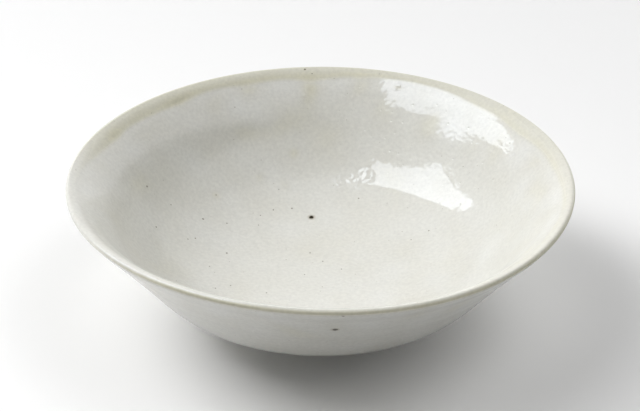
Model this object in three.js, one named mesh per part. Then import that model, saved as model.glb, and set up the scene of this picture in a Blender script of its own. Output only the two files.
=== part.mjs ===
// A wide stoneware bowl, thrown on the wheel, with a shallow belly, a straight flaring wall and a round lip.
// The clay wall stands on a foot ring, and both are coated with a white glaze that is wiped off the foot's edge.
// Millimetres and degrees, +Z up, with the origin on the table at the middle of the foot.
import * as THREE from "three";

// The bowl, measured over the glaze
const RIM_DIAMETER = 210;
const HEIGHT = 62;
const LIP_THICKNESS = 2.8;
const WELL_RISE = 2; // from the root of the wall up to the middle of the well
const FLOOR_THICKNESS = 4.4; // clay between the middle of the well and the recess under the foot

// The line of the outside: its slope above the foot and at the lip, and how far each slope holds,
// as a share of the straight distance between the two ends
const BELLY_SLOPE = 15;
const LIP_SLOPE = 48.8;
const BELLY_HOLD = 0.525;
const LIP_HOLD = 0.86;

// The line of the inside, in the same way: it starts level in the middle of the well
const MOUTH_SLOPE = 40;
const WELL_HOLD = 0.741;
const MOUTH_HOLD = 0.38;

// The foot ring
const FOOT_DIAMETER = 73; // across the edge that stands on the table
const FOOT_HEIGHT = 8.5; // from the table to the root of the wall
const FOOT_EDGE = 3.6; // width of the flat edge
const FOOT_BEVEL = 0.7; // on both sides of the flat edge
const FOOT_FLARE = 1.3; // how far the foot widens from the bevel to the root
const RECESS_LEAN = 1.6; // how far the foot's inner side leans in towards the recess's ceiling

// The glaze
const GLAZE_THICKNESS = 0.6;
const LIP_GLAZE_THICKNESS = 0.3; // where it ran off the lip and the clay shows through
const LIP_BAND = 6; // width of that thin band inside the lip
const GLAZE_LINE = 2.4; // height above the table that the glaze is wiped back to

// The rim dried a little out of round, in three lobes that fade out at the root of the wall
const LOBES = 3;
const LOBE_HEIGHT = 0.45;
const LOBE_ANGLE = -162;

// The mesh
const SEGMENTS = 56;
const OUTSIDE_STATIONS = 12;
const INSIDE_STATIONS = 15;
const LIP_STATIONS = 6;

const radians = THREE.MathUtils.degToRad;
const point = (radius, height) => new THREE.Vector2(radius, height);
const footRadius = FOOT_DIAMETER / 2;

// A point moved along the line of the wall's slope, and square to it, away from the bowl's inside
const along = (from, slope, distance) =>
  point(from.x + distance * Math.cos(slope), from.y + distance * Math.sin(slope));
const outward = (from, slope, distance) =>
  point(from.x + distance * Math.sin(slope), from.y - distance * Math.cos(slope));

// A curve that leaves its start and arrives at its end at given slopes
function flowingLine(start, end, slopes, holds) {
  const span = start.distanceTo(end);
  return new THREE.CubicBezierCurve(
    start,
    along(start, radians(slopes[0]), holds[0] * span),
    along(end, radians(slopes[1]), -holds[1] * span),
    end,
  );
}

// The outside runs from the root above the foot to the round lip, and the inside from the middle of the well
const lipRadius = LIP_THICKNESS / 2;
const lipCentre = point(RIM_DIAMETER / 2 - lipRadius, HEIGHT - lipRadius);
const wallRoot = point(footRadius + FOOT_BEVEL + FOOT_FLARE, FOOT_HEIGHT);
const wallTop = outward(lipCentre, radians(LIP_SLOPE), lipRadius);
const wellMiddle = point(0, FOOT_HEIGHT + WELL_RISE);
const mouthEdge = outward(lipCentre, radians(MOUTH_SLOPE), -lipRadius);
const outsideLine = flowingLine(wallRoot, wallTop, [BELLY_SLOPE, LIP_SLOPE], [BELLY_HOLD, LIP_HOLD]);
const insideLine = flowingLine(wellMiddle, mouthEdge, [0, MOUTH_SLOPE], [WELL_HOLD, MOUTH_HOLD]);

// Places along a line, from 0 at its start to the edge of the thin band, and 1 at the lip
function stations(line, count) {
  const bandEdge = line.getUtoTmapping(1 - LIP_BAND / line.getLength());
  return [...Array.from({ length: count }, (_, i) => (bandEdge * i) / (count - 1)), 1];
}

// The clay under a line of glaze, which lies on its outer side (1) or its inner side (-1)
function clayUnder(line, places, side) {
  return places.map((place) => {
    const coat = place < 1 ? GLAZE_THICKNESS : LIP_GLAZE_THICKNESS;
    return outward(line.getPoint(place), line.getTangent(place).angle(), side * coat);
  });
}

const outsidePlaces = stations(outsideLine, OUTSIDE_STATIONS);
const outside = outsidePlaces.map((place) => outsideLine.getPoint(place));
const outerClay = clayUnder(outsideLine, outsidePlaces, -1);

// The middle of the well lies on the axis, so it is set apart from the stations round it
const insidePlaces = stations(insideLine, INSIDE_STATIONS).slice(1);
const inside = [wellMiddle, ...insidePlaces.map((place) => insideLine.getPoint(place))];
const wellClay = point(0, wellMiddle.y - GLAZE_THICKNESS);
const innerClay = [wellClay, ...clayUnder(insideLine, insidePlaces, 1)];

// The round lip, from the outside to the inside, between the two ends that the lines already have
function lipArc(radius) {
  const first = radians(LIP_SLOPE - 90);
  const sweep = radians(MOUTH_SLOPE + 90) - first;
  const arc = [];
  for (let i = 1; i < LIP_STATIONS; i++) {
    const angle = first + (sweep * i) / LIP_STATIONS;
    arc.push(point(lipCentre.x + radius * Math.cos(angle), lipCentre.y + radius * Math.sin(angle)));
  }
  return arc;
}
const lipOutside = lipArc(lipRadius);
const lipClay = lipArc(lipRadius - LIP_GLAZE_THICKNESS);

// The recess under the foot, with a level ceiling
const recessRadius = footRadius - FOOT_EDGE - FOOT_BEVEL - RECESS_LEAN;
const ceilingHeight = wellClay.y - FLOOR_THICKNESS;
const recessMiddle = point(0, ceilingHeight);
const recessCorner = point(recessRadius, ceilingHeight);
const recessGlazeMiddle = point(0, ceilingHeight - GLAZE_THICKNESS);
const recessGlazeCorner = point(recessRadius - GLAZE_THICKNESS, ceilingHeight - GLAZE_THICKNESS);

// The sides of the foot ring, as the radius at a height, and the glaze that stops at the wiped line
const footOutside = (height) =>
  THREE.MathUtils.mapLinear(height, FOOT_BEVEL, FOOT_HEIGHT, footRadius + FOOT_BEVEL, wallRoot.x);
const footInside = (height) =>
  THREE.MathUtils.mapLinear(height, FOOT_BEVEL, recessCorner.y, footRadius - FOOT_EDGE - FOOT_BEVEL, recessRadius);
const outerLine = point(footOutside(GLAZE_LINE), GLAZE_LINE);
const outerLineClay = point(outerLine.x - GLAZE_THICKNESS, GLAZE_LINE);
const innerLineClay = point(footInside(GLAZE_LINE), GLAZE_LINE);
const innerLine = point(innerLineClay.x - GLAZE_THICKNESS, GLAZE_LINE);

// How much wider or narrower the bowl is at an angle and a height than a round one
function lobing(angle, height) {
  const rise = THREE.MathUtils.clamp((height - FOOT_HEIGHT) / (HEIGHT - FOOT_HEIGHT), 0, 1);
  return 1 + (rise * LOBE_HEIGHT * Math.cos(LOBES * (angle - radians(LOBE_ANGLE)))) / (RIM_DIAMETER / 2);
}

// One closed section, listed from its underside outwards and up, turned round the bowl's axis. Pieces
// that touch share their rings, so each strip between two rings is split along the same diagonal
// in both: from the wider ring, or the higher one of two equal ones, to the next segment of the other.
function turned(section) {
  const position = [];
  const rings = section.map(({ x: radius, y: height }) => {
    const count = radius > 0 ? SEGMENTS : 1;
    const first = position.length / 3;
    for (let i = 0; i < count; i++) {
      const angle = (2 * Math.PI * i) / SEGMENTS;
      const reach = radius * lobing(angle, height);
      position.push(reach * Math.cos(angle), reach * Math.sin(angle), height);
    }
    return { radius, height, vertex: (i) => first + (i % count) };
  });
  const index = [];
  rings.forEach((ring, k) => {
    const next = rings[(k + 1) % rings.length];
    const ringLeads = (ring.radius - next.radius || ring.height - next.height) > 0;
    for (let i = 0; i < SEGMENTS; i++) {
      const [a, b] = [ring.vertex(i), ring.vertex(i + 1)];
      const [c, d] = [next.vertex(i + 1), next.vertex(i)];
      const halves = ringLeads ? [[a, b, c], [a, c, d]] : [[a, b, d], [b, c, d]];
      halves.filter((half) => new Set(half).size === 3).forEach((half) => index.push(...half));
    }
  });
  return new THREE.BufferGeometry()
    .setAttribute("position", new THREE.Float32BufferAttribute(position, 3))
    .setIndex(index);
}

// Stoneware bites into the light, and the glaze over it is a thin, glossy glass
const clayFinish = { color: 0xcdc1ab, roughness: 0.85, metalness: 0 };
const glazeFinish = { color: 0xe2e0d8, roughness: 0.12, metalness: 0 };
const thinGlazeFinish = { color: 0xd2ccb8, roughness: 0.22, metalness: 0 };

function piece(name, section, finish) {
  const geometry = turned(section);
  geometry.computeVertexNormals();
  const mesh = new THREE.Mesh(geometry, new THREE.MeshStandardMaterial(finish));
  mesh.name = name;
  return mesh;
}

// A line's points in reverse order, and a line that stops at the edge of the thin band
const reversed = (line) => line.slice().reverse();
const belowBand = (line) => line.slice(0, -1);

// Clay: the thrown wall with its floor and lip, and the ring that it stands on
const clayWall = piece(
  "clay_wall",
  [recessMiddle, recessCorner, ...outerClay, ...lipClay, ...reversed(innerClay)],
  clayFinish,
);
const footRing = piece(
  "foot_ring",
  [
    point(footRadius - FOOT_EDGE, 0),
    point(footRadius, 0),
    point(footRadius + FOOT_BEVEL, FOOT_BEVEL),
    outerLineClay,
    outerClay[0],
    recessCorner,
    innerLineClay,
    point(footRadius - FOOT_EDGE - FOOT_BEVEL, FOOT_BEVEL),
  ],
  clayFinish,
);

// Glaze: the coats outside, inside, over the lip, and in the recess under the foot
const outerGlaze = piece("outer_glaze", [outerLine, ...outside, ...reversed(outerClay), outerLineClay], glazeFinish);
const innerGlaze = piece("inner_glaze", [...belowBand(innerClay), ...reversed(belowBand(inside))], glazeFinish);
const lipGlaze = piece(
  "lip_glaze",
  [
    outside.at(-1),
    ...lipOutside,
    inside.at(-1),
    inside.at(-2),
    innerClay.at(-2),
    innerClay.at(-1),
    ...reversed(lipClay),
    outerClay.at(-1),
  ],
  thinGlazeFinish,
);
const recessGlaze = piece(
  "recess_glaze",
  [recessGlazeMiddle, recessGlazeCorner, innerLine, innerLineClay, recessCorner, recessMiddle],
  glazeFinish,
);

const bowl = new THREE.Group();
bowl.add(clayWall, footRing, outerGlaze, innerGlaze, lipGlaze, recessGlaze);
export default bowl;
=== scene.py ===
"""A white-glazed stoneware bowl on a pale floor: the fine surface and finish of each of its pieces.

Lengths are in millimetres in the sizes below, and in metres once they reach Blender.
"""
import logging
import math
from dataclasses import dataclass
from enum import Enum
from typing import Sequence

import bpy
import numpy as np
from mathutils import Matrix, Vector


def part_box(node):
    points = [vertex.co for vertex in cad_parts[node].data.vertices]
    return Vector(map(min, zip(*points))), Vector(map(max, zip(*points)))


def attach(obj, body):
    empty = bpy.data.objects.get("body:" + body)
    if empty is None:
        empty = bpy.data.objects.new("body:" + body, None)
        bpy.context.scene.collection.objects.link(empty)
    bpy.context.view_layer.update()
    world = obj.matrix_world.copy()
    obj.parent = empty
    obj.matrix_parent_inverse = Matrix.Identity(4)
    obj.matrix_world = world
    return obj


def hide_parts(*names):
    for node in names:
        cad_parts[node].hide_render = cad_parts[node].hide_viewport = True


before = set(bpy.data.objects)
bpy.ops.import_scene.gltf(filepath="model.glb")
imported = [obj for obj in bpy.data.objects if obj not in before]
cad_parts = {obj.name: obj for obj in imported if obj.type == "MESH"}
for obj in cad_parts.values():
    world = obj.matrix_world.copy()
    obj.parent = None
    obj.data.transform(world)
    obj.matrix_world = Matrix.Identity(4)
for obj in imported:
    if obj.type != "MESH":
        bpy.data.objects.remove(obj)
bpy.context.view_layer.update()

MM = 0.001
LOG = logging.getLogger("bowl")
Tree = bpy.types.NodeTree
Socket = bpy.types.NodeSocket


class Face(Enum):
    """The side of the bowl that a stretch of its surface belongs to."""

    INSIDE = "inside"
    OUTSIDE = "outside"
    HIDDEN = "hidden"


class Slot(Enum):
    """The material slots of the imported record."""

    CLAY = "stoneware_clay"
    GLAZE = "white_glaze"
    THIN_GLAZE = "thin_glaze"


def smoothstep(low: float, high: float, value: np.ndarray) -> np.ndarray:
    """Rises smoothly from 0 to 1 as a value goes from low to high."""
    share = np.clip((value - low) / (high - low), 0.0, 1.0)
    return share * share * (3.0 - 2.0 * share)


def lerp(start: float, end: float, share: np.ndarray) -> np.ndarray:
    """Goes from start to end as share goes from 0 to 1."""
    return start + (end - start) * share


def bell(value: np.ndarray, middle: float, width: float) -> np.ndarray:
    """A bell curve with a height of 1 at its middle, where the width is its standard deviation."""
    return np.exp(-0.5 * ((value - middle) / width) ** 2)


def turn(angle: np.ndarray, middle: float) -> np.ndarray:
    """The shortest way round from a middle angle, in degrees, to each angle in radians."""
    return np.degrees(np.angle(np.exp(1j * (angle - np.radians(middle)))))


class Ripples:
    """Smooth random bumps in space: a sum of waves in all directions, from a fixed seed."""

    def __init__(self, seed: int, wavelength: float, waves: int = 22) -> None:
        """Draws the waves.

        Args:
            seed: the seed of the random draw.
            wavelength: the mean distance from bump to bump, in millimetres.
            waves: how many waves are added up.
        """
        draw = np.random.default_rng(seed)
        heading = draw.normal(size=(waves, 3))
        heading /= np.linalg.norm(heading, axis=1)[:, None]
        self.pitch = heading * (2 * np.pi / (wavelength * draw.uniform(0.75, 1.35, waves)))[:, None]
        self.phase = draw.uniform(0, 2 * np.pi, waves)
        self.scale = math.sqrt(2 / waves)

    def at(self, points: np.ndarray) -> np.ndarray:
        """The bumps at each point.

        Args:
            points: the places, in millimetres.

        Returns:
            Their height, with a standard deviation of 1.
        """
        total = np.zeros(points.shape[:-1])
        for pitch, phase in zip(self.pitch, self.phase):
            total += np.sin(points @ pitch + phase)
        return total * self.scale


@dataclass
class Line:
    """A stretch of the bowl's section, from its underside outwards and up.

    Attributes:
        points: radius and height of each point.
        normals: the way that each point's surface faces, in the section's plane.
        reach: distance over the surface from the lip's top, positive inside and negative outside.
        face: the side of the bowl that the stretch shows on.
    """

    points: np.ndarray
    normals: np.ndarray
    reach: np.ndarray
    face: Face

    @classmethod
    def hidden(cls, points: Sequence) -> "Line":
        """A stretch that lies inside the bowl or is left plain."""
        spots = np.atleast_2d(np.asarray(points, float))
        return cls(spots, np.zeros_like(spots), np.zeros(len(spots)), Face.HIDDEN)

    def back(self) -> "Line":
        """The same stretch the other way round."""
        return Line(self.points[::-1], self.normals[::-1], self.reach[::-1], self.face)

    def cut(self, keep: np.ndarray | slice) -> "Line":
        """The part of the stretch that a mask or a slice keeps."""
        return Line(self.points[keep], self.normals[keep], self.reach[keep], self.face)


def flowing_line(start: np.ndarray, end: np.ndarray, slopes: tuple[float, float],
                 holds: tuple[float, float], step: float) -> tuple[np.ndarray, np.ndarray]:
    """A smooth curve in the bowl's section that leaves and arrives at given slopes.

    Args:
        start: radius and height of its first point.
        end: radius and height of its last point.
        slopes: its slope at both ends, in degrees.
        holds: how far each slope holds, as a share of the distance between the ends.
        step: the distance between its points.

    Returns:
        Its points, and the direction along it at each of them.
    """
    span = np.linalg.norm(end - start)
    leaving, arriving = (np.array([math.cos(math.radians(s)), math.sin(math.radians(s))]) for s in slopes)
    low = start + holds[0] * span * leaving
    high = end - holds[1] * span * arriving
    place = np.linspace(0, 1, round(span / step))[:, None]
    left = 1 - place
    points = left**3 * start + 3 * left**2 * place * low + 3 * left * place**2 * high + place**3 * end
    along = left**2 * (low - start) + 2 * left * place * (high - low) + place**2 * (end - high)
    return points, along / np.linalg.norm(along, axis=1)[:, None]


@dataclass
class Section:
    """The bowl's section over its glaze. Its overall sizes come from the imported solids.

    Attributes:
        lip_thickness: how thick the round lip is.
        floor_thickness: the clay between the well and the recess under the foot.
        belly_slope, lip_slope: the outside's slope above the foot and at the lip, in degrees.
        belly_hold, lip_hold: how far these slopes hold, as a share of the distance between the ends.
        well_rise: how far the middle of the well lies above the root of the wall.
        mouth_slope: the slope that the inside's curve ends with, in degrees.
        well_hold, mouth_hold: how far the inside's slopes hold, in the same way.
        foot_height: from the table to the root of the wall.
        foot_edge, foot_bevel: the flat edge that the foot stands on, and the bevel on both its sides.
        foot_flare, recess_lean: how far the foot's outer side and its inner side lean.
        glaze, lip_glaze: the glaze's nominal thickness on the wall and on the lip.
        lip_band: width of the thinner coat below the lip.
        lobes, lobe_height, lobe_angle: the count, height and heading of the rim's lobes.
        dip, dip_angle, dip_half_width: how far the rim sank in the kiln, and where, in degrees.
        fit_margin: how far the surface keeps inside the solids, as room for its relief.
        step, fine_step: the distance between rings on the wall and over the lip.
        lip_turn: the reach and the slope in degrees of each place on the way over the lip.
        lip_start: the reach at which the way over the lip leaves the inside's curve.
        mouth_reach: the reach that the end of the inside's curve stands for.
        mouth_lift: how far the curve aims over the lip's height, which the turn then takes off.
        recess_rings: the number of rings in the recess's ceiling.
        recess_reach: a reach for the recess that is past all that happens near the lip.
    """

    lip_thickness: float = 2.8
    floor_thickness: float = 4.4
    belly_slope: float = 15.0
    lip_slope: float = 48.8
    belly_hold: float = 0.525
    lip_hold: float = 0.86
    well_rise: float = 2.0
    mouth_slope: float = 40.0
    well_hold: float = 0.741
    mouth_hold: float = 0.38
    foot_height: float = 8.5
    foot_edge: float = 3.6
    foot_bevel: float = 0.7
    foot_flare: float = 1.3
    recess_lean: float = 1.6
    glaze: float = 0.6
    lip_glaze: float = 0.3
    lip_band: float = 6.0
    lobes: int = 3
    lobe_height: float = 0.45
    lobe_angle: float = -162.0
    dip: float = 1.9
    dip_angle: float = -62.0
    dip_half_width: float = 25.0
    fit_margin: float = 0.18
    step: float = 0.9
    fine_step: float = 0.16
    lip_turn: tuple[tuple[float, float], ...] = (
        (8.4, 44.5), (6.2, 43.5), (4.8, 37.0), (3.6, 28.0), (2.6, 23.0),
        (1.6, 19.5), (0.5, -35.0), (-0.4, -75.0), (-1.1, -90.0), (-1.7, -131.2),
    )
    lip_start: float = 9.5
    mouth_reach: float = 2.09
    mouth_lift: float = 0.40
    recess_rings: int = 24
    recess_reach: float = -150.0

    def __post_init__(self) -> None:
        """Reads the overall sizes from the frame and works out the section's lines."""
        rim_low, rim_high = (np.array(corner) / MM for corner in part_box("lip_glaze"))
        self.rim_radius = (rim_high[0] - rim_low[0]) / 2 - self.fit_margin
        self.height = rim_high[2] - self.fit_margin
        self.glaze_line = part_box("outer_glaze")[0][2] / MM
        self.foot_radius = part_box("foot_ring")[1][0] / MM - self.foot_bevel - self.foot_flare
        self.foot_radius += self.glaze * math.sin(math.radians(self.belly_slope))
        self._trace_inside()
        self._trace_outside()
        self._trace_foot()

    def coat(self, reach: np.ndarray) -> np.ndarray:
        """The glaze's nominal thickness at a distance from the lip's top."""
        return lerp(self.lip_glaze, self.glaze, smoothstep(0, self.lip_band, np.abs(reach)))

    def _trace_inside(self) -> None:
        """The inside, from the middle of the well to the lip's top, and the way over the lip."""
        half = self.lip_thickness / 2
        mouth = math.radians(self.mouth_slope)
        centre = np.array([self.rim_radius - half, self.height + self.mouth_lift - half])
        mouth_edge = centre + half * np.array([-math.sin(mouth), math.cos(mouth)])
        middle = np.array([0.0, self.foot_height + self.well_rise])
        points, along = flowing_line(
            middle, mouth_edge, (0.0, self.mouth_slope), (self.well_hold, self.mouth_hold), self.step)
        reach = self.mouth_reach + self._distance_to_end(points)
        wall = reach > self.lip_start
        points, along, reach = points[wall], along[wall], reach[wall]
        slope = math.degrees(math.atan2(along[-1, 1], along[-1, 0]))
        stops = [(reach[-1], slope), *self.lip_turn]
        away = np.linspace(stops[0][0], stops[-1][0], round((stops[0][0] - stops[-1][0]) / self.fine_step))
        turn_at, slopes = (np.array(column)[::-1] for column in zip(*stops))
        slope = np.radians(np.interp(away, turn_at, slopes))
        over = np.stack([np.cos(slope), np.sin(slope)], axis=1)
        steps = (over[1:] + over[:-1]) / 2 * -np.diff(away)[:, None]
        turned = points[-1] + np.cumsum(steps, axis=0)
        points, along = np.concatenate([points, turned]), np.concatenate([along, over[1:]])
        reach = np.append(reach, away[1:])
        facing = np.stack([-along[:, 1], along[:, 0]], axis=1)
        whole = Line(points, facing, reach, Face.INSIDE)
        clay = Line.hidden(points - facing * self.coat(reach)[:, None])
        over_lip = np.nonzero(reach < 0)[0][:-1]
        self.inside, self.inner_clay = whole.cut(reach >= 0), clay.cut(reach >= 0)
        self.lip, self.lip_clay = whole.cut(over_lip), clay.cut(over_lip)
        self.lip_foot, self.lip_end = points[-1], reach[-1]

    def _trace_outside(self) -> None:
        """The outside of the wall, from the root above the foot to the round lip."""
        root = np.array([self.foot_radius + self.foot_bevel + self.foot_flare, self.foot_height])
        slopes, holds = (self.belly_slope, self.lip_slope), (self.belly_hold, self.lip_hold)
        points, along = flowing_line(root, self.lip_foot, slopes, holds, self.step)
        outward = np.stack([along[:, 1], -along[:, 0]], axis=1)
        reach = self.lip_end - self._distance_to_end(points)
        self.outside = Line(points, outward, reach, Face.OUTSIDE)
        self.outer_clay = Line.hidden(points - outward * self.coat(reach)[:, None])

    @staticmethod
    def _distance_to_end(points: np.ndarray) -> np.ndarray:
        """The distance along a line from each of its points to its last one."""
        pieces = np.linalg.norm(np.diff(points, axis=0), axis=1)
        return np.append(np.cumsum(pieces[::-1])[::-1], 0.0)

    def _trace_foot(self) -> None:
        """The recess's ceiling, and the foot ring's sides with the wiped edges of the glaze."""
        inner_edge = self.foot_radius - self.foot_edge
        recess_radius = inner_edge - self.foot_bevel - self.recess_lean
        ceiling = self.foot_height + self.well_rise - self.glaze - self.floor_thickness
        radius = np.linspace(0, recess_radius, self.recess_rings)
        self.recess_clay = Line.hidden([(r, ceiling) for r in radius])
        surface = np.array([(r, ceiling - self.glaze) for r in radius])
        surface[-1, 0] -= self.glaze
        down = np.tile([0.0, -1.0], (len(radius), 1))
        self.recess = Line(surface, down, self.recess_reach + radius, Face.OUTSIDE)
        root = self.outside.points[0]
        share = (self.glaze_line - self.foot_bevel) / (self.foot_height - self.foot_bevel)
        outer_line = lerp(self.foot_radius + self.foot_bevel, root[0], share)
        share = (self.glaze_line - self.foot_bevel) / (ceiling - self.foot_bevel)
        inner_line = lerp(inner_edge - self.foot_bevel, recess_radius, share)
        self.outer_line = np.array([outer_line, self.glaze_line])
        self.outer_line_clay = self.outer_line - [self.glaze, 0]
        self.inner_line_clay = np.array([inner_line, self.glaze_line])
        self.inner_line = self.inner_line_clay - [self.glaze, 0]
        self.bare_foot = np.array([
            [inner_edge, 0.0],
            [self.foot_radius, 0.0],
            [self.foot_radius + self.foot_bevel, self.foot_bevel],
        ])
        self.bare_foot_inside = np.array([inner_edge - self.foot_bevel, self.foot_bevel])

    def lobing(self, angle: np.ndarray, height: np.ndarray) -> np.ndarray:
        """How much wider or narrower the bowl is than a round one.

        Args:
            angle: the angle round the bowl, in radians.
            height: the height above the table.

        Returns:
            The factor on the radius.
        """
        rise = np.clip((height - self.foot_height) / (self.height - self.foot_height), 0, 1)
        wave = np.cos(self.lobes * (angle - math.radians(self.lobe_angle)))
        return 1 + self.lobe_height * rise * wave / self.rim_radius

    def sagging(self, angle: np.ndarray, height: np.ndarray) -> np.ndarray:
        """How far the wall sank in the kiln on the side where the rim dips, at an angle in radians."""
        rise = np.clip((height - self.foot_height) / (self.height - self.foot_height), 0, 1)
        return self.dip * rise**2 * bell(turn(angle, self.dip_angle), 0.0, self.dip_half_width)


@dataclass(frozen=True)
class Mark:
    """A soft ring that the thrower's fingers left in the wall.

    Attributes:
        reach: its distance from the lip's top.
        height: how far it stands out, or how deep it lies where it is negative.
        half_width: the standard deviation of its bell curve.
        middle: the angle in degrees of the middle of the stretch that it covers.
        half_turn: how far it reaches to both sides from there, in degrees.
    """

    reach: float
    height: float
    half_width: float
    middle: float = 0.0
    half_turn: float = 1000.0

    def at(self, angle: np.ndarray, reach: np.ndarray) -> np.ndarray:
        """Its height at an angle in radians and a distance from the lip's top."""
        stretch = 1 - smoothstep(self.half_turn - 12, self.half_turn + 12, np.abs(turn(angle, self.middle)))
        return self.height * stretch * bell(reach, self.reach, self.half_width)


@dataclass
class GlazeFlow:
    """How thick the glaze lies: thin over the lip, rolled up below it, and rippled everywhere.

    Attributes:
        thin_side: the angle of the side where the glaze ran off the lip's inside most, in degrees.
        thin_edge_side: the same for the lip's outer edge.
        band: width of the thin band inside the lip.
        outer_band: width of the thin band outside.
        crown: width of the creamy top of the lip.
        crown_depth: the glaze's thickness there.
        band_depth_and_shade: its thickness where the band ends, darker partly as thinner glaze and partly
            as painted shade on the lip's inner slope.
        bare_edge: reach of the line along the lip's outer edge where the glaze hardly covers.
        edge_thinning: how much thinner it is on that line.
        tongues: angle, length and half width in degrees of each place where the band reaches down.
        runs_and_painted_shade: angle, reach, half width in degrees, half length and how much the glaze
            thins, for each soft run or dimple and each patch of painted shade.
        inner_marks: the rings inside.
        outer_marks: the rings outside.
        full: the thickness of a full coat.
        skin, skin_heights: the ripples of its surface, and how high they are outside and inside.
        swell, swell_depth: the slow changes of its thickness, and how large they are.
        curtain, fold_depth: the folds in which it ran down below the band, and how thick they are.
        follow: the share of its thickness that shows as relief, as the rest sank into the clay.
    """

    thin_side: float = 45.0
    thin_edge_side: float = -10.0
    band: float = 5.2
    outer_band: float = 1.5
    crown: float = 2.9
    crown_depth: float = 0.38
    band_depth_and_shade: float = 0.28
    bare_edge: float = -0.7
    edge_thinning: float = 0.22
    tongues: tuple[tuple[float, float, float], ...] = (
        (160.0, 3.0, 10.0), (134.0, 3.0, 12.0), (108.0, 2.0, 9.0), (92.0, 2.6, 5.0),
        (46.0, 1.6, 5.0), (31.0, 3.6, 8.0), (10.0, 2.0, 9.0),
    )
    # The thinner glaze of these is darker. At the dimples, at reaches of 42 to 57, that is partly a shallow
    # dent and partly painted shade;
    # the two broad patches at a reach of about 31, at 105 and 172 degrees, are painted shade on the back
    # and left walls.
    runs_and_painted_shade: tuple[tuple[float, float, float, float, float], ...] = (
        (155.0, 7.0, 2.5, 2.5, 0.14), (130.0, 8.0, 3.0, 2.0, 0.14), (110.5, 11.5, 2.2, 3.5, 0.14),
        (93.2, 13.0, 1.7, 4.6, 0.16), (79.5, 10.0, 2.0, 3.5, 0.14), (69.0, 8.9, 1.1, 0.8, 0.2),
        (99.2, 41.9, 1.3, 1.7, 0.16), (113.1, 51.0, 1.4, 2.0, 0.16), (133.0, 53.1, 1.4, 1.9, 0.15),
        (104.3, 56.8, 1.6, 2.2, 0.16), (105.0, 30.5, 12.0, 4.0, 0.12), (172.0, 31.0, 16.0, 5.0, 0.10),
    )
    inner_marks: tuple[Mark, ...] = (
        Mark(11.8, 0.22, 2.85), Mark(18.1, 0.035, 1.65), Mark(26.8, 0.03, 1.65),
        Mark(41.2, 0.13, 4.0), Mark(52.0, -0.14, 3.0), Mark(55.0, -0.11, 1.5),
        Mark(21.5, 0.8, 6.0, middle=143.0, half_turn=52.0),
    )
    outer_marks: tuple[Mark, ...] = (
        Mark(1.9, -0.10, 0.35), Mark(3.0, 0.24, 0.6), Mark(6.8, 0.18, 1.7), Mark(11.5, -0.03, 0.7),
        Mark(14.5, 0.08, 1.9), Mark(18.2, 0.035, 0.7), Mark(22.5, 0.06, 2.2),
        Mark(26.0, -0.02, 0.7), Mark(31.0, 0.09, 2.3), Mark(36.5, 0.03, 0.9), Mark(45.0, 0.07, 3.6),
    )
    full: float = 0.60
    skin: Ripples = Ripples(seed=11, wavelength=2.8)
    skin_heights: tuple[float, float] = (0.001, 0.004)
    swell: Ripples = Ripples(seed=12, wavelength=26.0)
    swell_depth: float = 0.035
    curtain: Ripples = Ripples(seed=13, wavelength=15.0)
    fold_depth: float = 0.05
    follow: float = 0.25

    def thinness(self, angle: np.ndarray, reach: np.ndarray) -> np.ndarray:
        """How much the glaze ran off the lip.

        Args:
            angle: the angles round the bowl, in radians.
            reach: the distances from the lip's top, as in Line.

        Returns:
            The share at each place, from 0 to 1.
        """
        inward = smoothstep(-0.5, 1.5, reach)
        middle = lerp(self.thin_edge_side, self.thin_side, inward)
        bare = 1 - 0.9 * smoothstep(105, 150, np.abs(turn(angle, middle)))
        return bare * lerp(1.0, 0.75 + 0.25 * np.cos(angle - math.radians(120)), inward)

    def band_edge(self, angle: np.ndarray) -> np.ndarray:
        """The width of the thin band inside the lip.

        Args:
            angle: the angles round the bowl, in radians.

        Returns:
            The width at each angle, in millimetres.
        """
        edge = self.band + 0.35 * np.sin(5 * angle + 0.7) + 0.25 * np.sin(13 * angle + 2.1)
        for middle, length, half_width in self.tongues:
            edge = edge + length * bell(turn(angle, middle), 0.0, half_width)
        return edge

    def depth(self, points: np.ndarray, angle: np.ndarray, reach: np.ndarray) -> np.ndarray:
        """The glaze's thickness, lowered in places partly or wholly as painted shade, which darkens its
        colour.

        Args:
            points: the places, in millimetres.
            angle: their angle round the bowl, in radians.
            reach: their distance from the lip's top, as in Line.

        Returns:
            The thickness in millimetres.
        """
        inside = reach > 0
        thinness = self.thinness(angle, reach)
        edge = np.where(inside, self.band_edge(angle), self.outer_band)
        past = np.abs(reach) - edge
        # The band darkens from its creamy top to its lower edge: partly thinner glaze, partly painted shade
        # on the lip's inner slope.
        thin = lerp(self.crown_depth, self.band_depth_and_shade, smoothstep(self.crown - edge, -0.6, past) * inside)
        thin = thin - self.edge_thinning * bell(reach, self.bare_edge, 0.55)
        coat = lerp(self.full, thin, thinness * (1 - smoothstep(-1.6, 2.0, past)))
        # Each run thins the glaze, which darkens it; at the dimples and the broad patches that darkening is
        # painted shade.
        for middle, down, half_width, half_length, thinning_and_shade in self.runs_and_painted_shade:
            here = bell(turn(angle, middle), 0.0, half_width) * bell(reach, down, half_length)
            coat = coat - thinning_and_shade * inside * here
        folds = self.fold_depth * self.curtain.at(points * [1, 1, 0.3]) * smoothstep(0, 4, past)
        folds *= 1 - smoothstep(14, 34, past)
        return coat + folds + self.swell_depth * self.swell.at(points) * smoothstep(0, 8, past)

    def marks(self, angle: np.ndarray, reach: np.ndarray) -> np.ndarray:
        """The thrower's marks, which wander a little on their way round the bowl.

        Args:
            angle: the angles round the bowl, in radians.
            reach: the distances from the lip's top, as in Line.

        Returns:
            Their height at each place, in millimetres.
        """
        total = np.zeros_like(angle)
        for marks, side in ((self.inner_marks, reach > 0), (self.outer_marks, reach < 0)):
            for number, mark in enumerate(marks):
                away = np.abs(reach) - 0.35 * np.sin(angle + 1.9 * number)
                total += side * mark.at(angle, away)
        return total

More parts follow.
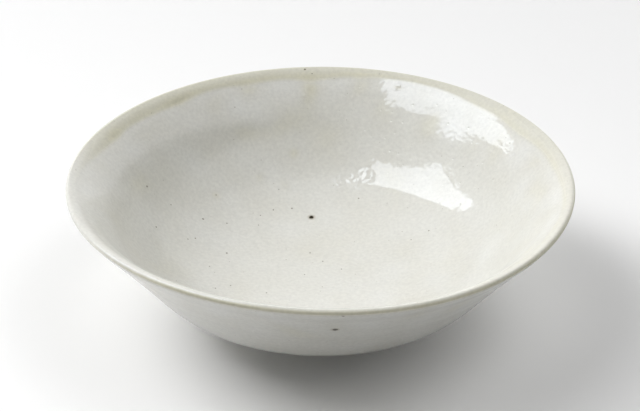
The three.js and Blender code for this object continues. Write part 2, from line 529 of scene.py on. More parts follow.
    def relief(self, points: np.ndarray, angle: np.ndarray, reach: np.ndarray,
               nominal: np.ndarray) -> np.ndarray:
        """How far the glaze's surface stands over its nominal place.

        Args:
            points: the places, in millimetres.
            angle: their angle round the bowl, in radians.
            reach: their distance from the lip's top, as in Line.
            nominal: the coat's nominal thickness there.

        Returns:
            The height in millimetres.
        """
        coat = np.clip(self.depth(points, angle, reach) - nominal, -0.2, 0.2)
        skin = lerp(*self.skin_heights, reach > 0) * self.skin.at(points) * smoothstep(1, 4, np.abs(reach))
        return self.follow * coat * smoothstep(0, 2, np.abs(reach)) + self.marks(angle, reach) + skin


@dataclass(frozen=True)
class Shot:
    """The photograph's view of the bowl, in millimetres and degrees."""

    distance: float = 830.0
    elevation: float = 29.25
    roll: float = 0.165
    aim: tuple[float, float, float] = (-0.4, 0.0, 46.8)
    lens: float = 111.7
    sensor: float = 36.0

    def place(self) -> bpy.types.Object:
        """Makes the camera and gives it to the scene.

        Returns:
            The camera's object.
        """
        lift, roll = math.radians(self.elevation), math.radians(self.roll)
        back = Vector((0, -math.cos(lift), math.sin(lift)))
        side = Vector((1, 0, 0))
        up = back.cross(side)
        right = math.cos(roll) * side + math.sin(roll) * up
        above = back.cross(right)
        camera = bpy.data.objects.new("camera", bpy.data.cameras.new("camera"))
        camera.data.lens = self.lens
        camera.data.sensor_width = self.sensor
        camera.data.clip_start = 0.01
        turned = Matrix((right, above, back)).transposed().to_4x4()
        camera.matrix_world = Matrix.Translation((Vector(self.aim) + self.distance * back) * MM) @ turned
        bpy.context.scene.collection.objects.link(camera)
        bpy.context.scene.camera = camera
        return camera


def linear(colour: str) -> tuple[float, float, float, float]:
    """Turns an sRGB hex colour into the linear values that Blender works in."""
    parts = [int(colour[i:i + 2], 16) / 255 for i in (1, 3, 5)]
    return tuple(p / 12.92 if p <= 0.04045 else ((p + 0.055) / 1.055) ** 2.4 for p in parts) + (1.0,)


def per_metre(pitch: float) -> float:
    """The scale of a pattern whose features lie a pitch in millimetres apart."""
    return 1 / (pitch * MM)


def node(tree: Tree, kind: str, links: dict | None = None, stops: Sequence[tuple[float, str]] = (),
         **settings: object) -> bpy.types.Node:
    """Adds one node with its settings and its inputs.

    Args:
        tree: the node tree that the node goes into.
        kind: the node's Blender type, without the ShaderNode that it starts with.
        links: for each input, by name or number, the socket to link or the value to set.
        stops: the place and the sRGB hex colour of each stop of a colour ramp.
        settings: properties of the node itself.

    Returns:
        The new node.
    """
    made = tree.nodes.new("ShaderNode" + kind)
    for name, value in settings.items():
        setattr(made, name, value)
    for key, value in (links or {}).items():
        if isinstance(value, Socket):
            tree.links.new(value, made.inputs[key])
        else:
            made.inputs[key].default_value = value
    for number, (place, colour) in enumerate(stops):
        elements = made.color_ramp.elements
        element = elements[number] if number < len(elements) else elements.new(place)
        element.position = place
        element.color = linear(colour)
    return made


@dataclass(frozen=True)
class Speck:
    """A spot of iron that came through the glaze.

    Attributes:
        radius: its distance from the bowl's axis.
        angle: its angle round the bowl, in degrees.
        size: its diameter.
        face: the side of the wall that it shows on.
        burst: whether it burst open, which leaves a blacker middle without gloss.
    """

    radius: float
    angle: float
    size: float
    face: Face = Face.INSIDE
    burst: bool = False

    def spot(self, section: Section) -> Vector:
        """Finds the speck's place on the glaze.

        Args:
            section: the bowl's section.

        Returns:
            Where its middle lies, in metres.
        """
        angle = math.radians(self.angle)
        line = section.outside if self.face is Face.OUTSIDE else section.inside
        height = float(np.interp(self.radius, line.points[:, 0], line.points[:, 1]))
        reach = self.radius * float(section.lobing(np.array(angle), np.array(height)))
        height -= float(section.sagging(np.array(angle), np.array(height)))
        return Vector((reach * math.cos(angle), reach * math.sin(angle), height)) * MM


# The small specks inside that stand out: radius, angle and diameter of each
SMALL_SPECKS = (
    (102.3, 94.2, 0.9), (100.2, 92.4, 0.5), (90.8, 92.8, 0.7), (92.1, 124.5, 0.6),
    (81.8, 157.6, 0.8), (73.5, 153.2, 0.5), (68.6, 132.9, 0.6), (72.4, 167.6, 0.7),
    (87.0, -174.2, 0.7), (62.6, 145.9, 0.8), (60.7, 161.6, 0.5), (58.6, 158.5, 0.6),
    (55.5, 138.4, 0.6), (43.9, 158.1, 0.8), (47.7, 175.4, 0.5), (48.0, 125.1, 0.5),
    (52.9, 120.6, 0.5), (54.2, 113.1, 0.6), (53.3, 104.1, 0.7), (63.9, 107.3, 0.4),
    (21.9, 102.3, 0.6), (14.9, 86.6, 0.6), (12.3, 43.8, 0.5), (8.1, 149.0, 0.5), (5.9, -83.5, 0.4),
    (25.9, -151.8, 0.6), (39.1, -166.8, 0.6), (46.2, -163.1, 0.6), (59.4, 73.4, 0.6),
    (56.2, 32.6, 0.6), (47.8, 34.2, 0.5), (56.2, -53.4, 0.6), (58.2, -44.1, 0.6),
)

SPECKS = (
    Speck(47.0, 95.1, 2.5, burst=True),
    Speck(92.6, -86.6, 2.6, Face.OUTSIDE),
    Speck(104.6, -85.4, 1.1, Face.OUTSIDE),
    *(Speck(*spot) for spot in SMALL_SPECKS),
)

# Places where bubbles burst close together and left pits, with their diameters
PITTED = (
    Speck(64.8, 83.0, 13.0),
    Speck(66.4, 77.0, 13.0),
    Speck(69.2, 73.0, 10.0),
    Speck(97.9, 69.4, 6.0),
    Speck(92.6, 95.0, 8.0),
)


@dataclass(frozen=True)
class WhiteGlaze:
    """Opaque white feldspar glaze over stoneware, dipped and fired to a glossy glass.

    It is a smooth glass with a faint orange peel from the bubbles that healed in it, so reflections
    are clear but break up at their edges. Fine crystals in it scatter a part of them, which gives a
    soft haze round each highlight. Where it lies thin the buff clay warms it, and iron in the clay
    bleeds through as dark specks with a rusty halo.

    Attributes:
        bare, thin, body, thick: its colours from the thinnest film to the thickest coat.
        cream: the colour of its creamy blotches.
        iron, rust: the colours of a speck's middle and of the halo round it.
        gloss: the roughness of its clear reflections.
        haze, haze_roughness: the share of the haze, and its roughness.
        thin_gloss, thin_sheen: roughness and specular level where it is too thin to turn glassy.
        glassy_depth: the thickness up to which it is that thin, and the one from which it is glassy.
        ior: its index of refraction, matched to how strongly it mirrors.
        dimple, dimple_depth: distance and depth of the dimples of its orange peel.
        stir: how much deeper the dimples are in the pitted places.
        pit_pitch, pit_size, pit_depth: distance, diameter and depth of the pits of bubbles.
        healed: the share of the pits that closed again.
        cloud, cloud_depth: distance between clouds, and how much they add to the thickness.
        blotch: distance between the creamy blotches.
        grain, grain_shade: distance between grains, and how much they lighten or darken it.
        stray_pitch, stray_size: distance and greatest diameter of the stray specks.
        fray: size of the teeth round each speck.
    """

    bare: str = "#BBB89F"
    thin: str = "#DDDAC5"
    body: str = "#E0DFD7"
    thick: str = "#E6E6E1"
    cream: str = "#DEDAC5"
    iron: str = "#2B2417"
    rust: str = "#8C7F52"
    gloss: float = 0.035
    haze: float = 0.3
    haze_roughness: float = 0.42
    thin_gloss: float = 0.45
    thin_sheen: float = 0.2
    glassy_depth: tuple[float, float] = (0.38, 0.5)
    ior: float = 1.7
    dimple: float = 2.0
    dimple_depth: float = 0.045
    stir: float = 12.0
    pit_pitch: float = 2.2
    pit_size: float = 1.4
    pit_depth: float = 0.08
    healed: float = 0.87
    cloud: float = 16.0
    cloud_depth: float = 0.16
    blotch: float = 24.0
    grain: float = 1.5
    grain_shade: float = 0.13
    stray_pitch: float = 3.0
    stray_size: float = 0.6
    fray: float = 0.7

    def make(self, name: str, section: Section, specks: Sequence[Speck]) -> bpy.types.Material:
        """Builds the finish.

        Args:
            name: the material's name.
            section: the bowl's section, which gives the specks their place.
            specks: the specks that show on this coat.

        Returns:
            The material.
        """
        material = bpy.data.materials.new(name)
        material.use_nodes = True
        tree = material.node_tree
        tree.nodes.clear()
        place = node(tree, "TexCoord").outputs["Object"]
        colour, sheen = self._iron(tree, place, self._colour(tree, place), section, specks)
        bumped = self._bump(tree, place, section)
        clear, hazy = (node(tree, "BsdfPrincipled", {
            "Base Color": colour,
            "Roughness": roughness,
            "Normal": bumped,
            "IOR": self.ior,
            "Specular IOR Level": sheen,
        }).outputs["BSDF"] for roughness in (self._roughness(tree, place), self.haze_roughness))
        glaze = node(tree, "MixShader", {"Fac": self.haze, 1: clear, 2: hazy})
        node(tree, "OutputMaterial", {"Surface": glaze.outputs[0]})
        return material

    def _colour(self, tree: Tree, place: Socket) -> Socket:
        """The colour that the glaze's thickness gives, painted shade included, with its clouds, blotches
        and grain.

        Args:
            tree: the material's node tree.
            place: the place on the surface, in metres.

        Returns:
            The colour.
        """
        cloud, blotch, grain = (node(tree, "TexNoise", {
            "Vector": place, "Scale": per_metre(pitch), "Detail": detail,
        }).outputs["Fac"] for pitch, detail in ((self.cloud, 4.0), (self.blotch, 3.0), (self.grain, 4.0)))
        depth = node(tree, "Attribute", attribute_name="glaze_depth_and_shade").outputs["Fac"]
        clouded = node(tree, "Math", {0: cloud, 1: self.cloud_depth, 2: depth}, operation="MULTIPLY_ADD")
        colour = node(tree, "ValToRGB", {"Fac": clouded.outputs[0]}, stops=(
            (0.14, self.bare), (0.34, self.thin), (0.62, self.body), (0.84, self.thick),
        )).outputs["Color"]
        amount = node(tree, "MapRange", {
            "Value": blotch, "From Min": 0.52, "From Max": 0.72, "To Min": 0.0, "To Max": 0.1,
        }).outputs[0]
        colour = node(tree, "Mix", {
            "Factor": amount, "A": colour, "B": linear(self.cream),
        }, data_type="RGBA").outputs["Result"]
        shade = node(tree, "MapRange", {
            "Value": grain, "To Min": 1 - self.grain_shade, "To Max": 1 + self.grain_shade,
        }).outputs[0]
        return node(tree, "VectorMath", {0: colour, 1: shade}, operation="MULTIPLY").outputs[0]

    def _iron(self, tree: Tree, place: Socket, colour: Socket, section: Section,
              specks: Sequence[Speck]) -> tuple[Socket, Socket]:
        """Adds the specks of iron: a few strays, and those that were read off the bowl.

        Args:
            tree: the material's node tree.
            place: the place on the surface, in metres.
            colour: the glaze's colour without them.
            section: the bowl's section.
            specks: the specks that show on this coat.

        Returns:
            The colour with them, and the specular level, which is low in a burst speck.
        """
        ragged = node(tree, "TexNoise", {"Vector": place, "Scale": per_metre(self.fray)}).outputs["Fac"]
        cells = node(tree, "TexVoronoi", {"Vector": place, "Scale": per_metre(self.stray_pitch)})
        chance = node(tree, "SeparateColor", {"Color": cells.outputs["Color"]}).outputs["Red"]
        reach = node(tree, "MapRange", {
            "Value": chance, "From Min": 0.6, "From Max": 1.0,
            "To Min": 0.0001, "To Max": self.stray_size / 2 / self.stray_pitch,
        }).outputs[0]
        stray = node(tree, "Math", {0: cells.outputs["Distance"], 1: reach}, operation="DIVIDE").outputs[0]
        nearest: dict[bool, Socket | float] = {False: 10.0, True: 10.0}
        for speck in specks:
            away = node(tree, "VectorMath", {0: place, 1: speck.spot(section)}, operation="DISTANCE")
            share = node(tree, "Math", {
                0: away.outputs["Value"], 1: 2 * per_metre(speck.size),
            }, operation="MULTIPLY")
            nearest[speck.burst] = node(tree, "Math", {
                0: nearest[speck.burst], 1: share.outputs[0],
            }, operation="MINIMUM").outputs[0]
        colour, _ = self._stained(tree, ragged, stray, colour, rust=0.2, iron=0.35)
        colour, _ = self._stained(tree, ragged, nearest[False], colour, rust=0.5, iron=0.8)
        colour, middle = self._stained(tree, ragged, nearest[True], colour, rust=0.55, iron=1.0)
        sheen = node(tree, "MapRange", {
            "Value": middle, "To Min": self._by_depth(tree, self.thin_sheen, 0.5), "To Max": 0.05,
        }).outputs[0]
        return colour, sheen

    def _stained(self, tree: Tree, ragged: Socket, away: Socket | float, colour: Socket,
                 rust: float, iron: float) -> tuple[Socket, Socket]:
        """Lays the rusty halo and the dark middle of specks over a colour.

        Args:
            tree: the material's node tree.
            ragged: random values that fray the specks.
            away: the distance from the nearest speck's middle, which is 1 at its edge.
            colour: the colour under them.
            rust: how strongly the halo covers it.
            iron: how strongly the middle covers it.

        Returns:
            The stained colour, and how much of the middle covers each place.
        """
        edge = node(tree, "Math", {0: ragged, 1: 0.7, 2: away}, operation="MULTIPLY_ADD").outputs[0]
        for stain, strength, start, end in ((self.rust, rust, 1.1, 2.0), (self.iron, iron, 1.0, 1.3)):
            cover = node(tree, "MapRange", {
                "Value": edge, "From Min": start, "From Max": end, "To Min": strength, "To Max": 0.0,
            }).outputs[0]
            colour = node(tree, "Mix", {
                "Factor": cover, "A": colour, "B": linear(stain),
            }, data_type="RGBA").outputs["Result"]
        return colour, cover

    def _by_depth(self, tree: Tree, thin: float, full: Socket | float) -> Socket:
        """A value that changes as the glaze gets thick enough to turn glassy.

        Args:
            tree: the material's node tree.
            thin: the value on a thin film.
            full: the value on a full coat.

        Returns:
            The value.
        """
        depth = node(tree, "Attribute", attribute_name="glaze_depth_and_shade").outputs["Fac"]
        low, high = self.glassy_depth
        return node(tree, "MapRange", {
            "Value": depth, "From Min": low, "From Max": high, "To Min": thin, "To Max": full,
        }).outputs[0]

    def _roughness(self, tree: Tree, place: Socket) -> Socket:
        """A clear gloss that dulls a little in patches, and more where the glaze is thin.

        Args:
            tree: the material's node tree.
            place: the place on the surface, in metres.

        Returns:
            The roughness.
        """
        patch = node(tree, "TexNoise", {"Vector": place, "Scale": per_metre(6.0), "Detail": 3.0})
        clear = node(tree, "MapRange", {
            "Value": patch.outputs["Fac"], "To Min": self.gloss * 0.6, "To Max": self.gloss * 1.4,
        }).outputs[0]
        return self._by_depth(tree, self.thin_gloss, clear)

    def _bump(self, tree: Tree, place: Socket, section: Section) -> Socket:
        """The orange peel and the pits of bubbles, too fine for the mesh. Both fade out at the lip.

        Args:
            tree: the material's node tree.
            place: the place on the surface, in metres.
            section: the bowl's section, which gives the pitted places.

        Returns:
            The bumped normal.
        """
        peel, cloud = (node(tree, "TexNoise", {
            "Vector": place, "Scale": per_metre(pitch), "Detail": detail,
        }).outputs["Fac"] for pitch, detail in ((self.dimple, 0.6), (self.cloud, 2.0)))
        calm = node(tree, "MapRange", {
            "Value": cloud, "From Min": 0.35, "From Max": 0.6, "To Min": 0.35, "To Max": 1.0,
        }).outputs[0]
        cells = node(tree, "TexVoronoi", {"Vector": place, "Scale": per_metre(self.pit_pitch)})
        pit = node(tree, "MapRange", {
            "Value": cells.outputs["Distance"], "From Max": self.pit_size / 2 / self.pit_pitch,
            "To Min": -self.pit_depth / self.dimple_depth, "To Max": 0.0,
        }, interpolation_type="SMOOTHSTEP").outputs[0]
        chance = node(tree, "SeparateColor", {"Color": cells.outputs["Color"]}).outputs["Green"]
        closed: Socket | float = self.healed
        for patch in PITTED:
            away = node(tree, "VectorMath", {0: place, 1: patch.spot(section)}, operation="DISTANCE")
            limit = node(tree, "MapRange", {
                "Value": away.outputs["Value"], "From Max": patch.size / 2 * MM,
                "To Min": 0.1, "To Max": 0.9,
            })
            closed = node(tree, "Math", {0: closed, 1: limit.outputs[0]}, operation="MINIMUM").outputs[0]
        stirred = node(tree, "MapRange", {
            "Value": closed, "From Min": 0.1, "From Max": 0.9, "To Min": self.stir, "To Max": calm,
        }).outputs[0]
        rough = node(tree, "Math", {0: peel, 1: stirred}, operation="MULTIPLY").outputs[0]
        open_pit = node(tree, "Math", {0: chance, 1: closed}, operation="GREATER_THAN").outputs[0]
        height = node(tree, "Math", {0: pit, 1: open_pit, 2: rough}, operation="MULTIPLY_ADD").outputs[0]
        strength = node(tree, "MapRange", {
            "Value": node(tree, "Attribute", attribute_name="from_lip").outputs["Fac"],
            "From Min": 5.0, "From Max": 10.0, "To Min": 0.2, "To Max": 1.0,
        }).outputs[0]
        return node(tree, "Bump", {
            "Height": height, "Distance": self.dimple_depth * MM, "Strength": strength,
        }).outputs["Normal"]


@dataclass(frozen=True)
class StonewareClay:
    """Buff stoneware with fine grog, trimmed with a loop tool and fired bare.

    It is matt and slightly gritty, with darker grains and a warmer blush where the glaze was wiped off.

    Attributes:
        body, dark, blush: its colour, and those of its dark grains and its blush.
        roughness, ior: matt, and typical of fired clay.
        grit, grit_depth: distance and depth of its grains.
        patch: distance between the blushed patches.
    """

    body: str = "#C4B699"
    dark: str = "#9B8A6C"
    blush: str = "#B98F66"
    roughness: float = 0.82
    ior: float = 1.5
    grit: float = 0.6
    grit_depth: float = 0.05
    patch: float = 14.0

    def make(self, name: str) -> bpy.types.Material:
        """Builds the finish.

        Args:
            name: the material's name.

        Returns:
            The material.
        """
        material = bpy.data.materials.new(name)
        material.use_nodes = True
        tree = material.node_tree
        tree.nodes.clear()
        place = node(tree, "TexCoord").outputs["Object"]
        grains, patches = (node(tree, "TexNoise", {
            "Vector": place, "Scale": per_metre(pitch), "Detail": detail,
        }).outputs["Fac"] for pitch, detail in ((self.grit, 4.0), (self.patch, 3.0)))
        colour = node(tree, "ValToRGB", {"Fac": grains}, stops=(
            (0.3, self.dark), (0.45, self.body), (0.8, self.body),
        )).outputs["Color"]
        amount = node(tree, "MapRange", {
            "Value": patches, "From Min": 0.45, "From Max": 0.7, "To Max": 0.5,
        }).outputs[0]
        blushed = node(tree, "Mix", {
            "Factor": amount, "A": colour, "B": linear(self.blush),
        }, data_type="RGBA").outputs["Result"]
        bumped = node(tree, "Bump", {
            "Height": grains, "Distance": self.grit_depth * MM, "Strength": 1.0,
        }).outputs["Normal"]
        shader = node(tree, "BsdfPrincipled", {
            "Base Color": blushed, "Roughness": self.roughness, "IOR": self.ior, "Normal": bumped,
        })
        node(tree, "OutputMaterial", {"Surface": shader.outputs["BSDF"]})
        return material


@dataclass
class Wheel:
    """Turns closed sections round the bowl's axis into fine meshes.

    Attributes:
        section: the bowl's section.
        flow: how the glaze lies on it.
        segments: the number of points in each ring.
        crease: the angle from which an edge is shown sharp, in degrees.
    """

    section: Section
    flow: GlazeFlow
    segments: int = 540
    crease: float = 35.0

    def turned(self, name: str, lines: Sequence[Line]) -> bpy.types.Object:
        """Makes one piece from the lines of its section.

        Args:
            name: the piece's name.
            lines: the stretches of its closed section, from its underside outwards and up.

        Returns:
            The piece's object, which holds the glaze's thickness and the distance from the lip at
            each point.
        """
        angle = np.linspace(0, 2 * np.pi, self.segments, endpoint=False)
        verts, depths, reaches, first = [], [], [], []
        total = 0
        for line in lines:
            for point, normal, reach in zip(line.points, line.normals, line.reach):
                on_axis = point[0] < 1e-6
                around = angle[:1] if on_axis else angle
                spots, depth = self._ring(point, normal, reach, line.face, around)
                verts.append(spots)
                depths.append(depth)
                reaches.append(np.full(len(around), abs(reach)))
                first.append((total, on_axis))
                total += len(around)
        faces = self._strips(first)
        mesh = bpy.data.meshes.new(name)
        mesh.from_pydata((np.concatenate(verts) * MM).tolist(), [], faces)
        for attribute, values in (("glaze_depth_and_shade", depths), ("from_lip", reaches)):
            layer = mesh.attributes.new(attribute, "FLOAT", "POINT")
            layer.data.foreach_set("value", np.concatenate(values).astype(np.float32))
        mesh.shade_smooth()
        mesh.set_sharp_from_angle(angle=math.radians(self.crease))
        mesh.validate()
        made = bpy.data.objects.new(name, mesh)
        bpy.context.scene.collection.objects.link(made)
        return made

    def _ring(self, point: np.ndarray, normal: np.ndarray, reach: float, face: Face,
              angle: np.ndarray) -> tuple[np.ndarray, np.ndarray]:
        """Makes one ring, moved by the glaze's relief.

        Args:
            point: its radius and height.
            normal: the way that its surface faces, in the section's plane.
            reach: its distance from the lip's top, as in Line.
            face: the side of the bowl that it shows on.
            angle: the angles of its points, in radians.

        Returns:
            Its points, and the glaze's thickness at each, painted shade included.
        """
        count = len(angle)
        spots = self._spun(np.full(count, point[0]), np.full(count, point[1]), angle)
        if face is Face.HIDDEN:
            return spots, np.full(count, self.section.glaze)
        away = np.full(count, reach)
        nominal = self.section.coat(away)
        rise = self.flow.relief(spots, angle, away, nominal)
        moved = self._spun(point[0] + normal[0] * rise, point[1] + normal[1] * rise, angle)
        return moved, self.flow.depth(spots, angle, away)

    def _spun(self, radius: np.ndarray, height: np.ndarray, angle: np.ndarray) -> np.ndarray:
        """Places points round the bowl, with the rim's lobes and its dip.

        Args:
            radius: their radius on a round bowl.
            height: their height on a level one.
            angle: their angles, in radians.

        Returns:
            Their places, in millimetres.
        """
        reach = radius * self.section.lobing(angle, height)
        sunk = height - self.section.sagging(angle, height)
        return np.stack([reach * np.cos(angle), reach * np.sin(angle), sunk], axis=1)

    def _strips(self, first: Sequence[tuple[int, bool]]) -> list[tuple[int, ...]]:
        """The faces between each ring and the next, round the whole section.

        Args:
            first: each ring's first point, and whether the ring is one point on the axis.

        Returns:
            The points of each face.
        """
        faces = []
        count = self.segments
        for (low, low_axis), (high, high_axis) in zip(first, list(first[1:]) + [first[0]]):
            if low_axis and high_axis:
                continue
            for i in range(count):
                j = (i + 1) % count
                if low_axis:
                    faces.append((low, high + j, high + i))
                elif high_axis:
                    faces.append((low + i, low + j, high))
                else:
                    faces.append((low + i, low + j, high + j, high + i))
        return faces


@dataclass
class ClayBody:
    """The thrown wall and the foot ring under it."""

    wheel: Wheel

    def build(self) -> list[tuple[bpy.types.Object, str, Slot]]:
        """Makes the clay pieces.

        Returns:
            Each piece, the node that it stands for, and its slot.
        """
        s = self.wheel.section
        wall = self.wheel.turned("thrown_wall", [
            s.recess_clay, s.outer_clay, s.lip_clay.back(), s.inner_clay.back(),
        ])
        foot = self.wheel.turned("trimmed_foot", [Line.hidden(stretch) for stretch in (
            s.bare_foot, s.outer_line_clay, s.outer_clay.points[0],
            s.recess_clay.points[-1], s.inner_line_clay, s.bare_foot_inside,
        )])
        return [(wall, "clay_wall", Slot.CLAY), (foot, "foot_ring", Slot.CLAY)]

    def dress(self, pieces: Sequence[bpy.types.Object]) -> None:
        """Gives the clay pieces their finish.

        Args:
            pieces: the wall and the foot.
        """
        clay = StonewareClay().make("buff_stoneware")
        for piece in pieces:
            piece.data.materials.append(clay)


@dataclass
class GlazeCoats:
    """The coats of glaze: outside, inside, over the lip and in the recess under the foot."""

    wheel: Wheel

    def build(self) -> list[tuple[bpy.types.Object, str, Slot]]:
        """Makes the coats.

        Returns:
            Each piece, the node that it stands for, and its slot.
        """
        s = self.wheel.section
        below = s.inside.reach >= s.lip_band
        last = int(np.nonzero(below)[0][-1])
        seam = np.arange(len(s.inside.reach)) >= last
        outer = self.wheel.turned("outer_coat", [
            Line.hidden(s.outer_line), s.outside, s.outer_clay.back(), Line.hidden(s.outer_line_clay),
        ])
        inner = self.wheel.turned("inner_coat", [
            s.inner_clay.cut(below), s.inside.cut(below).back(),
        ])
        lip_start = np.arange(len(s.outside.reach)) == len(s.outside.reach) - 1
        lip = self.wheel.turned("lip_coat", [
            s.outside.cut(lip_start), s.lip.back(), s.inside.cut(seam).back(), s.inner_clay.cut(seam),
            s.lip_clay, s.outer_clay.cut(lip_start),
        ])
        recess = self.wheel.turned("recess_coat", [
            s.recess, Line.hidden(s.inner_line), Line.hidden(s.inner_line_clay), s.recess_clay.back(),
        ])
        return [
            (outer, "outer_glaze", Slot.GLAZE),
            (inner, "inner_glaze", Slot.GLAZE),
            (lip, "lip_glaze", Slot.THIN_GLAZE),
            (recess, "recess_glaze", Slot.GLAZE),
        ]

    def dress(self, pieces: Sequence[bpy.types.Object]) -> None:
        """Gives each coat the glaze with the specks that show on it. Only the inside is dimpled.

        Args:
            pieces: the coats, in the order that build gives.
        """
        for piece, face in zip(pieces, (Face.OUTSIDE, Face.INSIDE, Face.INSIDE, Face.OUTSIDE)):
            specks = [speck for speck in SPECKS if speck.face is face]
            finish = WhiteGlaze() if face is Face.INSIDE else WhiteGlaze(dimple_depth=0.001, pit_depth=0.0)
            glaze = finish.make(f"white_glaze_{piece.name}", self.wheel.section, specks)
            piece.data.materials.append(glaze)


def heading(bearing: float, rise: float) -> Vector:
    """A direction over the table.

    Args:
        bearing: degrees from the back of the table towards the right.
        rise: degrees over level.

    Returns:
        The direction, one unit long.
    """
    turned, lifted = math.radians(bearing), math.radians(rise)
    level = math.cos(lifted)
    return Vector((math.sin(turned) * level, math.cos(turned) * level, math.sin(lifted)))


@dataclass(frozen=True)
class Panel:
    """A soft light: a bright rectangle over the table.

    Attributes:
        name: what the light is.
        place: bearing and rise of its middle, seen from the bowl.
        distance: how far its middle is from the bowl, in metres.
        back: bearing and rise of the way that its back points.
        spin: how far it is turned about its own axis, in degrees.
        size: its width and height, in metres.
        radiance: how bright its face is, where white paper in full light is 1.
        shine: how much brighter it is where the glaze mirrors it, from a second lamp in front of it.
        tint: that lamp's colour, a little cool, so that the mirrored light is white on a warm glaze.
        gap: how far that lamp stands in front of the first, in metres.
    """

    name: str
    place: tuple[float, float]
    distance: float
    back: tuple[float, float]
    spin: float
    size: tuple[float, float]
    radiance: float
    shine: float
    tint: tuple[float, float, float] = (0.8, 0.97, 1.25)
    gap: float = 0.02

    def light(self) -> bpy.types.Object:
        """Makes the light and the lamp for its mirror image.

        Returns:
            The light's object.
        """
        back = heading(*self.back)
        level = Vector((0, 0, 1)).cross(back).normalized()
        spin = math.radians(self.spin)
        across = math.cos(spin) * level + math.sin(spin) * back.cross(level)
        facing = Matrix((across, back.cross(across), back)).transposed().to_4x4()
        made, mirrored = (self._lamp(name, radiance, distance, facing) for name, radiance, distance in (
            (self.name, self.radiance, self.distance),
            (self.name + "_shine", self.shine, self.distance - self.gap),
        ))
        mirrored.data.color = self.tint
        mirrored.visible_diffuse = False
        return made

    def _lamp(self, name: str, radiance: float, distance: float, facing: Matrix) -> bpy.types.Object:
        """Makes one lamp with the panel's size, which the camera doesn't see.

        Args:
            name: the lamp's name.
            radiance: how bright its face is.
            distance: how far it is from the bowl, in metres.
            facing: how it is turned.

        Returns:
            The lamp's object.
        """
        lamp = bpy.data.lights.new(name, "AREA")
        lamp.shape = "RECTANGLE"
        lamp.size, lamp.size_y = self.size
        lamp.energy = radiance * math.pi * self.size[0] * self.size[1]
        made = bpy.data.objects.new(name, lamp)
        made.matrix_world = Matrix.Translation(distance * heading(*self.place)) @ facing
        made.visible_camera = False
        bpy.context.scene.collection.objects.link(made)
        return made


@dataclass(frozen=True)
class Glow:
    """A bright part of the white surroundings, without an edge.

    Attributes:
        place: bearing and rise of its brightest spot.
        focus: how fast it fades away from there.
        radiance: how bright that spot is.
    """

    place: tuple[float, float]
    focus: float
    radiance: float


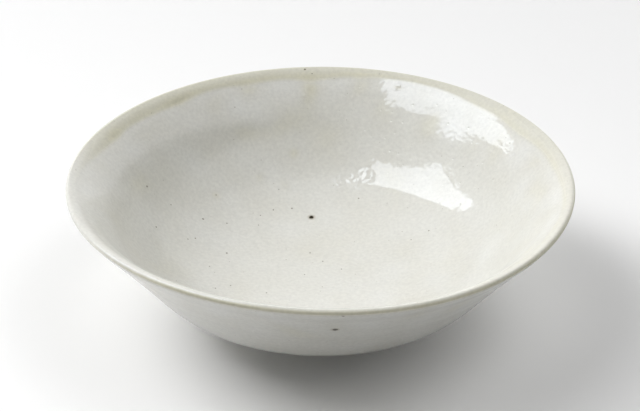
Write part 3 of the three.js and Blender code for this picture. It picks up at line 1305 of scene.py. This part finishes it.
@dataclass(frozen=True)
class Studio:
    """The pale floor, the white surroundings and the soft light.

    Attributes:
        paper: the floor's colour to the camera and in reflections.
        shaded_paper: its colour to the light that it throws back, as the real table ended sooner.
        dark_side: bearing and rise of the middle of the room's dark side.
        dark_radiance: how bright reflections show that side, where the rest is 1.
        dark_edge: half the width of the fade at its edge, as the sine of an angle.
        floor_size: the floor's width, in metres.
        panels: the soft lights.
        glows: the bright parts of the surroundings, which light the bowl and aren't seen.
    """

    paper: str = "#FCFCFC"
    shaded_paper: str = "#D4D4D4"
    dark_side: tuple[float, float] = (119.0, -54.0)
    dark_radiance: float = 0.2
    dark_edge: float = 0.04
    floor_size: float = 6.0
    panels: tuple[Panel, ...] = (
        Panel("softbox", place=(-93.7, 46.2), distance=2.2, back=(23.6, 54.5), spin=77.8,
              size=(2.07, 1.93), radiance=2.56, shine=1.45),
    )
    glows: tuple[Glow, ...] = (
        Glow((-70.0, 42.0), 32.0, 7.4),
        Glow((-20.0, 4.0), 32.0, 6.0),
        Glow((-10.0, 25.0), 32.0, 1.2),
        Glow((-105.0, 5.0), 32.0, 1.8),
        Glow((30.0, 4.0), 32.0, 6.5),
        Glow((90.0, 62.0), 32.0, 2.8),
        Glow((108.0, 50.0), 9.0, 0.98),
    )

    def build(self) -> None:
        """Makes the floor, the world and the lights."""
        self._floor()
        self._world()
        for panel in self.panels:
            panel.light()

    @staticmethod
    def _seen(tree: Tree) -> Socket:
        """Tells what the camera sees, straight, mirrored or through glass, from what lights things.

        Args:
            tree: the node tree.

        Returns:
            1 for what is seen, and 0 for what lights other things.
        """
        ray = node(tree, "LightPath").outputs
        seen = node(tree, "Math", {0: ray["Is Camera Ray"], 1: ray["Is Glossy Ray"]}, operation="MAXIMUM")
        return node(tree, "Math", {
            0: seen.outputs[0], 1: ray["Is Transmission Ray"],
        }, operation="MAXIMUM").outputs[0]

    def _floor(self) -> None:
        """A wide sheet of white paper under the bowl."""
        half = self.floor_size / 2
        corners = [(-half, -half, 0), (half, -half, 0), (half, half, 0), (-half, half, 0)]
        mesh = bpy.data.meshes.new("floor")
        mesh.from_pydata(corners, [], [(0, 1, 2, 3)])
        material = bpy.data.materials.new("paper")
        material.use_nodes = True
        tree = material.node_tree
        shader = tree.nodes["Principled BSDF"]
        colour = node(tree, "Mix", {
            "Factor": self._seen(tree), "A": linear(self.shaded_paper), "B": linear(self.paper),
        }, data_type="RGBA")
        tree.links.new(colour.outputs["Result"], shader.inputs["Base Color"])
        shader.inputs["Roughness"].default_value = 0.9
        shader.inputs["Specular IOR Level"].default_value = 0.2
        mesh.materials.append(material)
        floor = bpy.data.objects.new("floor", mesh)
        bpy.context.scene.collection.objects.link(floor)

    def _world(self) -> None:
        """White to the camera and through glass, and soft glows that light everything.

        Reflections see white too, except for the dark side of the room behind the camera's right.
        """
        world = bpy.data.worlds.new("studio")
        world.use_nodes = True
        bpy.context.scene.world = world
        tree = world.node_tree
        background = tree.nodes["Background"]
        direction = node(tree, "TexCoord").outputs["Generated"]

        def nearness(place: tuple[float, float]) -> Socket:
            """The cosine of the angle between the ray and a place in the surroundings."""
            links = {0: direction, 1: heading(*place)}
            return node(tree, "VectorMath", links, operation="DOT_PRODUCT").outputs["Value"]

        light: Socket | float = 0.0
        for glow in self.glows:
            links = {0: nearness(glow.place), 1: glow.focus, 2: -glow.focus}
            fade = node(tree, "Math", links, operation="MULTIPLY_ADD")
            share = node(tree, "Math", {0: fade.outputs[0]}, operation="EXPONENT")
            links = {0: share.outputs[0], 1: glow.radiance, 2: light}
            light = node(tree, "Math", links, operation="MULTIPLY_ADD").outputs[0]
        room = node(tree, "MapRange", {
            "Value": nearness(self.dark_side), "From Min": -self.dark_edge, "From Max": self.dark_edge,
            "To Min": 1.0, "To Max": self.dark_radiance,
        })
        ray = node(tree, "LightPath").outputs
        white = node(tree, "MapRange", {
            "Value": ray["Is Glossy Ray"], "To Min": 1.0, "To Max": room.outputs[0],
        })
        strength = node(tree, "MapRange", {
            "Value": self._seen(tree), "To Min": light, "To Max": white.outputs[0],
        })
        tree.links.new(strength.outputs[0], background.inputs["Strength"])
        background.inputs["Color"].default_value = (1.0, 1.0, 1.0, 1.0)


def main() -> None:
    """Builds the bowl's pieces, dresses them and sets up the shot."""
    logging.basicConfig(level=logging.INFO, format="%(message)s")
    Shot().place()
    wheel = Wheel(Section(), GlazeFlow())
    for maker in (ClayBody(wheel), GlazeCoats(wheel)):
        made = maker.build()
        maker.dress([piece for piece, _, _ in made])
        for piece, stands_for, slot in made:
            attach(piece, "root")
            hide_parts(stands_for)
            LOG.info("%s: %d faces, for %s", piece.name, len(piece.data.polygons), stands_for)
    Studio().build()
    bpy.context.scene.view_settings.view_transform = "Standard"


if __name__ == "__main__":
    main()
